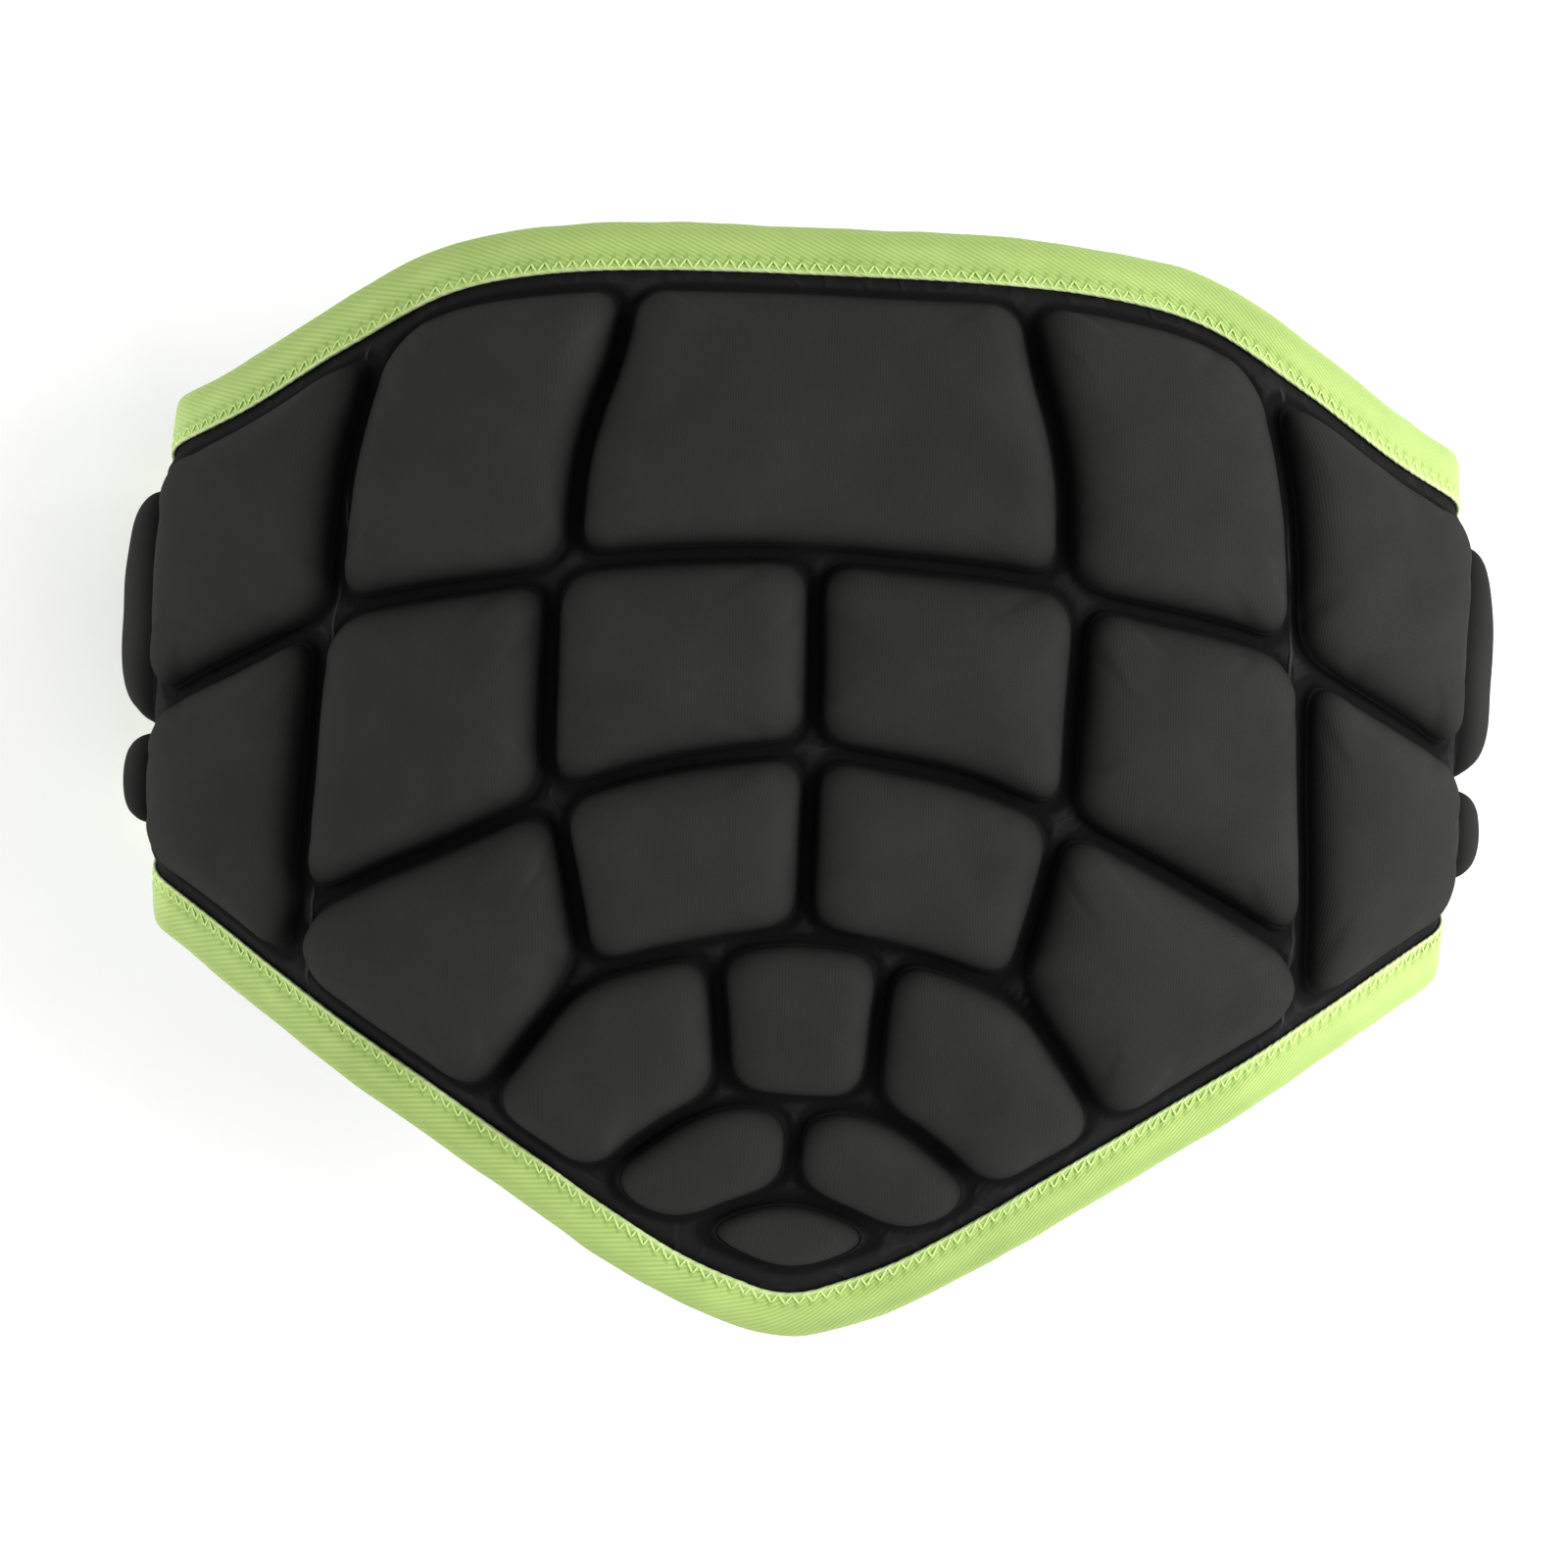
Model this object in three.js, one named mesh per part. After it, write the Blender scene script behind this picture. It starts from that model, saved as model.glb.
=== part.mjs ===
// Moulded hip pad: foam cells on a thin web that bends back at both wings, edge bound with a folded tape.
// Millimetres, +Z up. The pad rests on its two wing ends with the padded face up, the waist edge
// towards +Y and the tip towards -Y. The web is laid out flat first: u runs across from the centre
// line, v runs lengthwise, positive towards the waist, and h rises from the inner face of the web.
import * as THREE from 'three';

// Overall sizes, measured along the web
const halfGirth = 227;
const padLength = 262;
const waistCurl = 330;
const tipCurl = 300;

// Web
const webThickness = 3;
const edgeThickness = 2.2;
const edgeRamp = 2;

// Foam cells
const cellHeight = 11;
const cellCrown = 1.2;
const cellDraft = 1.2;
const cellShoulder = 2.6;
const cellCorner = 6.5;
const channelWidth = 3.2;
const hingeWidth = 9;
const cellMargin = 5;

// Binding tape
const tapeWidth = 12;
const tapeThickness = 1;

// Clearance between touching pieces
const seat = 0.3;

const tapeFold = seat + tapeThickness;
const tapeLeaf = tapeWidth - tapeFold;
const cellBase = webThickness + seat;

// Cross section from the centre line to a wing end.
// run is a share of the half girth, turn a share of a quarter turn.
const CROSS_SECTION = [
  { run: 0.223, turn: 0.056, facets: 4 },
  { run: 0.063, turn: 0.078, facets: 2 },
  { run: 0.187, turn: 0.089, facets: 3 },
  { run: 0.054, turn: 0.133, facets: 2 },
  { run: 0.196, turn: 0.156, facets: 3 },
  { run: 0.054, turn: 0.488, facets: 5 },
  { run: 0.223, turn: 0.0, facets: 4 },
];

// The lengthwise section is straight between these two shares of the length and curls beyond them.
const curlStart = { waist: 0.095, tip: -0.134 };

// Edges and ring channels: across is a share of the half girth, along a share of the length.
const EDGES = {
  waist: [
    { across: 0.0, along: 0.393 },
    { across: 0.2, along: 0.391 },
    { across: 0.33, along: 0.381 },
    { across: 0.42, along: 0.361 },
    { across: 0.53, along: 0.311 },
    { across: 0.65, along: 0.258 },
    { across: 0.77, along: 0.223 },
    { across: 1.0, along: 0.16 },
  ],
  seat: [
    { across: 0.0, along: -0.607 },
    { across: 0.045, along: -0.604 },
    { across: 0.14, along: -0.566 },
    { across: 0.28, along: -0.49 },
    { across: 0.47, along: -0.386 },
    { across: 0.65, along: -0.295 },
    { across: 0.77, along: -0.246 },
    { across: 1.0, along: -0.168 },
  ],
};
const RINGS = {
  first: [
    { across: 0.0, along: 0.103 },
    { across: 0.11, along: 0.099 },
    { across: 0.22, along: 0.088 },
    { across: 0.31, along: 0.069 },
    { across: 0.45, along: 0.046 },
    { across: 0.5, along: 0.03 },
    { across: 0.57, along: 0.004 },
    { across: 0.665, along: -0.027 },
    { across: 0.78, along: -0.065 },
    { across: 1.0, along: -0.085 },
  ],
  second: [
    { across: 0.0, along: -0.069 },
    { across: 0.067, along: -0.076 },
    { across: 0.156, along: -0.092 },
    { across: 0.24, along: -0.118 },
    { across: 0.35, along: -0.16 },
    { across: 0.45, along: -0.199 },
    { across: 0.51, along: -0.227 },
  ],
  third: [
    { across: 0.0, along: -0.233 },
    { across: 0.11, along: -0.248 },
    { across: 0.19, along: -0.267 },
    { across: 0.232, along: -0.29 },
    { across: 0.268, along: -0.328 },
    { across: 0.308, along: -0.374 },
  ],
  fourth: [
    { across: 0.0, along: -0.382 },
    { across: 0.067, along: -0.383 },
    { across: 0.11, along: -0.397 },
    { across: 0.16, along: -0.427 },
    { across: 0.185, along: -0.447 },
  ],
  fifth: [
    { across: 0.0, along: -0.469 },
    { across: 0.045, along: -0.477 },
    { across: 0.085, along: -0.493 },
  ],
};

// Channels that run lengthwise between neighbours in a row, in the same shares.
const DIVIDERS = {
  center: [
    { along: 0.1, across: 0.0 },
    { along: -0.5, across: 0.0 },
  ],
  waistInner: [
    { along: 0.313, across: 0.208 },
    { along: 0.267, across: 0.219 },
    { along: 0.221, across: 0.235 },
    { along: 0.172, across: 0.246 },
    { along: 0.107, across: 0.25 },
  ],
  waistOuter: [
    { along: 0.256, across: 0.467 },
    { along: 0.195, across: 0.482 },
    { along: 0.137, across: 0.491 },
    { along: 0.05, across: 0.496 },
  ],
  hipInner: [
    { along: 0.061, across: 0.268 },
    { along: -0.11, across: 0.264 },
  ],
  hipOuter: [
    { along: 0.004, across: 0.509 },
    { along: -0.115, across: 0.517 },
    { along: -0.237, across: 0.527 },
  ],
  seat: [
    { along: -0.134, across: 0.254 },
    { along: -0.198, across: 0.237 },
    { along: -0.248, across: 0.224 },
    { along: -0.275, across: 0.223 },
  ],
  lower: [
    { along: -0.256, across: 0.088 },
    { along: -0.302, across: 0.081 },
    { along: -0.366, across: 0.076 },
  ],
  hinge: [
    { along: 0.25, across: 0.759 },
    { along: -0.25, across: 0.759 },
  ],
};

// Each cell lies below one line and above others, outside one divider and inside the next.
// height is a share of the cell height. A cell with no inner divider lies on the centre line.
const CELLS = [
  { name: 'waist_center', below: 'waist', above: ['first'], to: 'waistInner', height: 1 },
  { name: 'waist_inner', below: 'waist', above: ['first'], from: 'waistInner', to: 'waistOuter', height: 1 },
  { name: 'waist_outer', below: 'waist', above: ['first'], from: 'waistOuter', to: 'hinge', height: 1 },
  { name: 'waist_wing', below: 'waist', above: ['first'], from: 'hinge', to: 'end', height: 1 },
  { name: 'hip_inner', below: 'first', above: ['second'], from: 'center', to: 'hipInner', height: 1 },
  { name: 'hip_middle', below: 'first', above: ['second'], from: 'hipInner', to: 'hipOuter', height: 1 },
  { name: 'hip_outer', below: 'first', above: ['seat'], from: 'hipOuter', to: 'hinge', height: 1 },
  { name: 'hip_wing', below: 'first', above: ['seat'], from: 'hinge', to: 'end', height: 0.9 },
  { name: 'seat_inner', below: 'second', above: ['third'], from: 'center', to: 'seat', height: 1 },
  { name: 'seat_outer', below: 'second', above: ['third', 'seat'], from: 'seat', to: 'hipOuter', height: 1 },
  { name: 'lower_center', below: 'third', above: ['fourth'], to: 'lower', height: 0.85 },
  { name: 'lower_side', below: 'third', above: ['fourth', 'seat'], from: 'lower', height: 0.85 },
  { name: 'tail', below: 'fourth', above: ['fifth', 'seat'], from: 'center', height: 0.7 },
  { name: 'tip', below: 'fifth', above: ['seat'], height: 0.5 },
];

// Loops of a cell's body. spread is a share of the reach from its middle to its outline, inset and
// drop are shares of the shoulder, measured inwards and down, and rise is a share of the crown.
const BASE_SPREADS = [0.45, 0.8, 1];
const SHOULDER_LOOPS = [
  { inset: 0, drop: 1 },
  { inset: 0.3, drop: 0.3 },
  { inset: 1, drop: 0 },
];
const CROWN_LOOP = { spread: 0.5, rise: 0.8 };

// Fineness of the faceted surfaces
const webRows = 5;
const wingFacets = 6;
const outlinePitch = 9.5;
const outlineFewest = 14;
const outlineSamples = 240;

const webMaterial = new THREE.MeshStandardMaterial({ color: 0x232523, roughness: 0.85, metalness: 0 });
const cellMaterial = new THREE.MeshStandardMaterial({ color: 0x343634, roughness: 0.8, metalness: 0 });
const tapeMaterial = new THREE.MeshStandardMaterial({ color: 0xbfdc76, roughness: 0.7, metalness: 0 });

// A smooth function through a table's rows, straight beyond its ends and level where it starts at 0
function smoothLine(xs, ys) {
  const last = xs.length - 1;
  const slope = (i) => (ys[i + 1] - ys[i]) / (xs[i + 1] - xs[i]);
  const tangents = xs.map((x, i) => {
    if (i === 0) return x === 0 ? 0 : slope(0);
    if (i === last) return slope(last - 1);
    return (ys[i + 1] - ys[i - 1]) / (xs[i + 1] - xs[i - 1]);
  });
  return (x) => {
    if (x <= xs[0]) return ys[0] + tangents[0] * (x - xs[0]);
    if (x >= xs[last]) return ys[last] + tangents[last] * (x - xs[last]);
    const i = xs.findIndex((next) => next > x) - 1;
    const width = xs[i + 1] - xs[i];
    const t = (x - xs[i]) / width;
    const start = (1 + 2 * t) * (1 - t) ** 2 * ys[i] + t * (1 - t) ** 2 * width * tangents[i];
    const end = t * t * (3 - 2 * t) * ys[i + 1] + t * t * (t - 1) * width * tangents[i + 1];
    return start + end;
  };
}

// Lines v(u) across the pad and dividers u(v) along it, in millimetres
function lineAcross(rows) {
  const line = smoothLine(rows.map((row) => row.across), rows.map((row) => row.along));
  return (u) => line(Math.abs(u) / halfGirth) * padLength;
}

function lineAlong(rows) {
  const sorted = [...rows].sort((a, b) => a.along - b.along);
  const line = smoothLine(sorted.map((row) => row.along), sorted.map((row) => row.across));
  return (v) => line(v / padLength) * halfGirth;
}

const waistEdge = lineAcross(EDGES.waist);
const seatEdge = lineAcross(EDGES.seat);
const rings = Object.fromEntries(Object.entries(RINGS).map(([name, rows]) => [name, lineAcross(rows)]));
const dividers = Object.fromEntries(Object.entries(DIVIDERS).map(([name, rows]) => [name, lineAlong(rows)]));

// How much longer a slanted line's upright distance is than its true distance
function slant(line, at) {
  const reach = 0.5;
  return Math.hypot(1, (line(at + reach) - line(at - reach)) / (2 * reach));
}

// Point of the cross section at u: its place, and the lean of the surface from level
function crossSection(u) {
  let rest = Math.abs(u);
  let x = 0;
  let z = 0;
  let lean = 0;
  CROSS_SECTION.forEach((row, i) => {
    const length = row.run * halfGirth;
    const isLast = i === CROSS_SECTION.length - 1;
    const step = isLast ? rest : Math.min(rest, length);
    const turn = (row.turn * Math.PI / 2) * (step / length);
    const chord = turn > 0 ? step * Math.sin(turn / 2) / (turn / 2) : step;
    x += chord * Math.cos(lean + turn / 2);
    z -= chord * Math.sin(lean + turn / 2);
    lean += turn;
    rest -= step;
  });
  return { x, z, lean };
}

// Point of the lengthwise section at v: how far along, how far it drops, and its tilt
function lengthSection(v) {
  const start = (v > 0 ? curlStart.waist : curlStart.tip) * padLength;
  const curl = v > 0 ? waistCurl : tipCurl;
  const past = Math.max(0, Math.abs(v) - Math.abs(start));
  const tilt = past / curl;
  const straight = Math.min(Math.abs(v), Math.abs(start));
  return {
    y: Math.sign(v) * (straight + curl * Math.sin(tilt)),
    drop: curl * (1 - Math.cos(tilt)),
    tilt: Math.sign(v) * tilt,
  };
}

// The bent web: u and v along it, h above its inner face
function onPad(u, v, h) {
  const across = crossSection(u);
  const along = lengthSection(v);
  const out = h * Math.cos(along.tilt) - along.drop;
  return new THREE.Vector3(
    Math.sign(u) * (across.x + out * Math.sin(across.lean)),
    along.y + h * Math.sin(along.tilt),
    across.z + out * Math.cos(across.lean),
  );
}

function buildGeometry(points, triangles) {
  const geometry = new THREE.BufferGeometry();
  geometry.setAttribute('position', new THREE.Float32BufferAttribute(points.flatMap((p) => p.toArray()), 3));
  geometry.setIndex(triangles.flat());
  geometry.computeVertexNormals();
  return geometry;
}

// Closed sheet with an outer and an inner skin, each a grid of columns and rows of points
function thickSheet(columns, rows, outer, inner) {
  const points = [];
  for (const skin of [outer, inner]) {
    for (let i = 0; i < columns; i += 1) {
      for (let j = 0; j < rows; j += 1) points.push(skin(i, j));
    }
  }
  const out = (i, j) => i * rows + j;
  const into = (i, j) => columns * rows + out(i, j);
  const triangles = [];
  const quad = (a, b, c, d) => triangles.push([a, b, c], [a, c, d]);
  const right = columns - 1;
  const top = rows - 1;
  for (let i = 0; i < right; i += 1) {
    for (let j = 0; j < top; j += 1) {
      quad(out(i, j), out(i + 1, j), out(i + 1, j + 1), out(i, j + 1));
      quad(into(i, j), into(i, j + 1), into(i + 1, j + 1), into(i + 1, j));
    }
    quad(out(i, 0), into(i, 0), into(i + 1, 0), out(i + 1, 0));
    quad(out(i + 1, top), into(i + 1, top), into(i, top), out(i, top));
  }
  for (let j = 0; j < top; j += 1) {
    quad(out(0, j + 1), into(0, j + 1), into(0, j), out(0, j));
    quad(out(right, j), into(right, j), into(right, j + 1), out(right, j + 1));
  }
  return buildGeometry(points, triangles);
}

// Closed body from a bottom pole through loops of points, counterclockwise from above, to a top pole
function polarBody(bottom, loops, top, mirrored) {
  const count = loops[0].length;
  const points = [bottom, ...loops.flat(), top];
  const at = (loop, i) => 1 + loop * count + (i % count);
  const topPole = points.length - 1;
  const triangles = [];
  for (let i = 0; i < count; i += 1) {
    triangles.push([0, at(0, i + 1), at(0, i)]);
    for (let loop = 0; loop < loops.length - 1; loop += 1) {
      triangles.push([at(loop, i), at(loop, i + 1), at(loop + 1, i + 1)]);
      triangles.push([at(loop, i), at(loop + 1, i + 1), at(loop + 1, i)]);
    }
    triangles.push([at(loops.length - 1, i), at(loops.length - 1, i + 1), topPole]);
  }
  return buildGeometry(points, mirrored ? triangles.map(([a, b, c]) => [a, c, b]) : triangles);
}

// Places across the girth where the web is faceted, from one wing end to the other
function girthStations(end) {
  const half = [];
  let start = 0;
  for (const row of CROSS_SECTION) {
    const length = row.run * halfGirth;
    for (let k = 0; k < row.facets; k += 1) half.push(start + (length * k) / row.facets);
    start += length;
  }
  const inner = half.filter((u) => u < end[0] - edgeRamp);
  const right = [...inner, ...end];
  return [...right.slice(1).reverse().map((u) => -u), ...right];
}

// The web sheet, pressed thinner where the binding folds over its edge
function webGeometry() {
  const pressed = tapeLeaf + edgeRamp;
  const stations = girthStations([halfGirth - pressed, halfGirth - tapeLeaf, halfGirth]);
  const middleLane = (_, k) => ({ share: k / webRows, inward: pressed });
  const lanes = [
    { share: 0, inward: 0 },
    { share: 0, inward: tapeLeaf },
    ...Array.from({ length: webRows + 1 }, middleLane),
    { share: 1, inward: tapeLeaf },
    { share: 1, inward: 0 },
  ];
  const place = (u, lane) => {
    const low = seatEdge(u) + lane.inward * slant(seatEdge, u);
    const high = waistEdge(u) - lane.inward * slant(waistEdge, u);
    return THREE.MathUtils.lerp(low, high, lane.share);
  };
  const thickness = (u, lane) => {
    const inward = Math.min(lane.inward, halfGirth - Math.abs(u));
    const share = THREE.MathUtils.clamp((inward - tapeLeaf) / edgeRamp, 0, 1);
    return THREE.MathUtils.lerp(edgeThickness, webThickness, share);
  };
  const skin = (rise) => (i, j) => {
    const u = stations[i];
    return onPad(u, place(u, lanes[j]), rise(u, lanes[j]));
  };
  return thickSheet(stations.length, lanes.length, skin(thickness), skin(() => 0));
}

// U section of the binding: into is measured from the web's edge inwards, rise from its inner face
function bindingSection() {
  const overWeb = edgeThickness + seat;
  const underWeb = -seat;
  return [
    { outer: { into: tapeLeaf, rise: overWeb + tapeThickness }, inner: { into: tapeLeaf, rise: overWeb } },
    { outer: { into: 0, rise: overWeb + tapeThickness }, inner: { into: 0, rise: overWeb } },
    { outer: { into: -tapeFold, rise: overWeb }, inner: { into: -seat, rise: overWeb } },
    { outer: { into: -tapeFold, rise: underWeb }, inner: { into: -seat, rise: underWeb } },
    { outer: { into: 0, rise: underWeb - tapeThickness }, inner: { into: 0, rise: underWeb } },
    { outer: { into: tapeLeaf, rise: underWeb - tapeThickness }, inner: { into: tapeLeaf, rise: underWeb } },
  ];
}

// A strip of binding: place(i, into) gives u and v at station i, that far in from the web's edge
function bindingGeometry(count, place) {
  const section = bindingSection();
  const skin = (side) => (i, j) => {
    const { into, rise } = section[j][side];
    const [u, v] = place(i, into);
    return onPad(u, v, rise);
  };
  return thickSheet(count, section.length, skin('outer'), skin('inner'));
}

// Strips run with the outside of the pad on their left, which keeps their faces outward
function longBinding(edge, direction) {
  const stations = girthStations([halfGirth, halfGirth + tapeFold]);
  const ordered = direction > 0 ? stations : [...stations].reverse();
  return bindingGeometry(ordered.length, (i, into) => {
    const u = ordered[i];
    return [u, edge(u) - direction * into * slant(edge, u)];
  });
}

function wingBinding(side) {
  const high = (u) => waistEdge(u) - tapeLeaf * slant(waistEdge, u) - seat;
  const low = (u) => seatEdge(u) + tapeLeaf * slant(seatEdge, u) + seat;
  return bindingGeometry(wingFacets + 1, (i, into) => {
    const u = halfGirth - into;
    const share = side > 0 ? 1 - i / wingFacets : i / wingFacets;
    return [side * u, THREE.MathUtils.lerp(low(u), high(u), share)];
  });
}

// True distance that a point lies beyond a line across the pad or a divider along it
function beyond(line, at, value) {
  return (value - line(at)) / slant(line, at);
}

// Distances from a point of the flat layout to the lines that bound a cell, positive inside
function cellClearances(cell, u, v) {
  const away = Math.abs(u);
  const half = channelWidth / 2;
  const border = tapeLeaf + cellMargin;
  const dividerHalf = (name) => (name === 'hinge' ? hingeWidth / 2 : half);
  const distances = [];
  if (cell.below === 'waist') distances.push(-beyond(waistEdge, away, v) - border);
  else distances.push(-beyond(rings[cell.below], away, v) - half);
  for (const name of cell.above) {
    if (name === 'seat') distances.push(beyond(seatEdge, away, v) - border);
    else distances.push(beyond(rings[name], away, v) - half);
  }
  if (cell.from) distances.push(beyond(dividers[cell.from], v, away) - dividerHalf(cell.from));
  if (cell.to === 'end') distances.push(halfGirth - away - border);
  else if (cell.to) distances.push(-beyond(dividers[cell.to], v, away) - dividerHalf(cell.to));
  return distances;
}

// Depth inside a cell's outline, with its corners rounded
function cellDepth(cell, u, v) {
  const shortfalls = cellClearances(cell, u, v).map((d) => Math.max(0, cellCorner - d));
  return cellCorner - Math.hypot(...shortfalls);
}

// Middle of a cell's area, found by scanning the right half of the layout
function cellCenter(cell) {
  const pitch = 2;
  const sum = new THREE.Vector2();
  let count = 0;
  for (let u = cell.from ? 0 : -halfGirth; u <= halfGirth; u += pitch) {
    for (let v = seatEdge(0); v <= waistEdge(0); v += pitch) {
      if (cellDepth(cell, u, v) > 0) {
        sum.add(new THREE.Vector2(u, v));
        count += 1;
      }
    }
  }
  return sum.divideScalar(count);
}

// Reach from a cell's middle, in one direction, to where its outline is inset by the given depth
function cellReach(cell, center, angle, inset) {
  const halvings = 40;
  let near = 0;
  let far = halfGirth;
  for (let step = 0; step < halvings; step += 1) {
    const reach = (near + far) / 2;
    const u = center.x + reach * Math.cos(angle);
    const v = center.y + reach * Math.sin(angle);
    const inside = cellDepth(cell, u, v) > inset && (!cell.from || u > 0);
    if (inside) near = reach;
    else far = reach;
  }
  return near;
}

// Directions from the middle that space the outline's points evenly, and closer round its corners
function outlineAngles(cell, center) {
  const points = [];
  for (let k = 0; k <= outlineSamples; k += 1) {
    const angle = (2 * Math.PI * k) / outlineSamples - Math.PI / 2;
    const reach = cellReach(cell, center, angle, 0);
    points.push({ angle, at: new THREE.Vector2(Math.cos(angle), Math.sin(angle)).multiplyScalar(reach) });
  }
  const heading = (k) => {
    const from = points[k % outlineSamples].at;
    return points[(k + 1) % outlineSamples].at.clone().sub(from).angle();
  };
  const cornerWeight = 2 * cellCorner;
  let length = 0;
  let perimeter = 0;
  const lengths = [0];
  for (let k = 0; k < outlineSamples; k += 1) {
    const step = points[k].at.distanceTo(points[k + 1].at);
    const turn = heading(k + 1) - heading(k);
    const bend = Math.abs(Math.atan2(Math.sin(turn), Math.cos(turn)));
    perimeter += step;
    length += step + cornerWeight * bend;
    lengths.push(length);
  }
  const count = Math.max(outlineFewest, 2 * Math.round(perimeter / outlinePitch / 2));
  return Array.from({ length: count }, (_, i) => {
    const goal = (length * i) / count;
    const k = Math.max(1, lengths.findIndex((value) => value > goal));
    const share = (goal - lengths[k - 1]) / (lengths[k] - lengths[k - 1]);
    return THREE.MathUtils.lerp(points[k - 1].angle, points[k].angle, share);
  });
}

// Foam cell: level base, drafted wall, rounded shoulder and a crown that rises to the middle
function cellGeometry(cell, side) {
  const center = cellCenter(cell);
  const angles = outlineAngles(cell, center);
  const wall = cell.height * cellHeight - cellCrown;
  const shoulderDrop = Math.min(cellShoulder, wall / 2);
  const loop = (inset, spread, rise) => angles.map((angle) => {
    const reach = spread * cellReach(cell, center, angle, inset);
    const u = center.x + reach * Math.cos(angle);
    return onPad(side * u, center.y + reach * Math.sin(angle), cellBase + rise);
  });
  const pole = (rise) => onPad(side * center.x, center.y, cellBase + rise);
  const shoulder = ({ inset, drop }) => loop(cellDraft + inset * cellShoulder, 1, wall - drop * shoulderDrop);
  const loops = [
    ...BASE_SPREADS.map((spread) => loop(0, spread, 0)),
    ...SHOULDER_LOOPS.map(shoulder),
    loop(cellDraft + cellShoulder, CROWN_LOOP.spread, wall + CROWN_LOOP.rise * cellCrown),
  ];
  return polarBody(pole(0), loops, pole(wall + cellCrown), side < 0);
}

function addPiece(group, name, geometry, material) {
  const piece = new THREE.Mesh(geometry, material);
  piece.name = name;
  group.add(piece);
}

function addCells(group) {
  for (const cell of CELLS) {
    if (cell.from) {
      addPiece(group, `${cell.name}_left`, cellGeometry(cell, -1), cellMaterial);
      addPiece(group, `${cell.name}_right`, cellGeometry(cell, 1), cellMaterial);
    } else {
      addPiece(group, cell.name, cellGeometry(cell, 1), cellMaterial);
    }
  }
}

const pad = new THREE.Group();
addPiece(pad, 'web', webGeometry(), webMaterial);
addCells(pad);
addPiece(pad, 'binding_waist', longBinding(waistEdge, 1), tapeMaterial);
addPiece(pad, 'binding_seat', longBinding(seatEdge, -1), tapeMaterial);
addPiece(pad, 'binding_wing_left', wingBinding(-1), tapeMaterial);
addPiece(pad, 'binding_wing_right', wingBinding(1), tapeMaterial);

// The origin is under the middle of the pad, on the surface that the wing ends stand on
const box = new THREE.Box3().setFromObject(pad);
const middle = box.getCenter(new THREE.Vector3());
pad.position.set(-middle.x, -middle.y, -box.min.z);

export default pad;
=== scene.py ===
"""Cloth, foam and stitching of the moulded hip pad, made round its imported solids.

The pieces follow the flat layout that the solids follow. u runs across from the centre line, v runs
lengthwise towards the waist and h runs out from the web's inner face, in millimetres. place() bends
a point of that layout onto the pad and gives it in metres."""
import math
from collections import namedtuple
from itertools import combinations

import bmesh
import bpy
import numpy as np
from mathutils import Matrix, Vector, noise


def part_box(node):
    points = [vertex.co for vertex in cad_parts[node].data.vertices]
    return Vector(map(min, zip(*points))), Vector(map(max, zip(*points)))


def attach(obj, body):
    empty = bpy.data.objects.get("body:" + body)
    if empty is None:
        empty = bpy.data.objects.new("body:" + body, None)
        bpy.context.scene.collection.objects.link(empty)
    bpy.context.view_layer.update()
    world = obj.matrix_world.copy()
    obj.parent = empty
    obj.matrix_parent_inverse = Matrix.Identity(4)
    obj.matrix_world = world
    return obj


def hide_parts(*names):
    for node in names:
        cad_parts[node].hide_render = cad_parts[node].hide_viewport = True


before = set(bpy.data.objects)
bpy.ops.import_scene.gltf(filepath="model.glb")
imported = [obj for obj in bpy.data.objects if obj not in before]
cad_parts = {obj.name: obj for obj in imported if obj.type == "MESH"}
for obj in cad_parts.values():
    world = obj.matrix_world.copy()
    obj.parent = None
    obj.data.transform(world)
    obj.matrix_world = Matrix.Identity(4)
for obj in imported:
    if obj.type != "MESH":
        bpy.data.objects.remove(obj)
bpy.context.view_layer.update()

MM = 0.001

# Web, cells and tape in millimetres, as the solids have them
HALF_GIRTH = 227
PAD_LENGTH = 262
WAIST_CURL = 330
TIP_CURL = 300
CURL_START_WAIST = 0.095
CURL_START_TIP = -0.134
WEB_THICKNESS = 3.0
EDGE_THICKNESS = 2.2
CELL_HEIGHT = 11.0
CELL_CROWN = 1.2
CELL_CORNER = 6.5
CHANNEL_WIDTH = 3.2
HINGE_WIDTH = 9.0
CELL_MARGIN = 5.0
SEAT = 0.3
TAPE_WIDTH = 12.0
TAPE_THICKNESS = 1.0
TAPE_FOLD = SEAT + TAPE_THICKNESS
TAPE_LEAF = TAPE_WIDTH - TAPE_FOLD
TAPE_TOP = EDGE_THICKNESS + SEAT + TAPE_THICKNESS
TAPE_BOTTOM = -SEAT - TAPE_THICKNESS
CELL_BASE = WEB_THICKNESS + SEAT

# Not in the solids: the corners' radius at the crown's rim, the width of the shoulder, and how much
# smaller the tip's cell is all round
RIM_CORNER = 8.0
SHOULDER_REACH = 9.0
TIP_INSET = 2.0

# Cross section from the centre line to a wing end: run as a share of the half girth, turn as a
# share of a quarter turn
CROSS_SECTION = [
    (0.223, 0.056),
    (0.063, 0.078),
    (0.187, 0.089),
    (0.054, 0.133),
    (0.196, 0.156),
    (0.054, 0.488),
    (0.223, 0.0),
]

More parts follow.
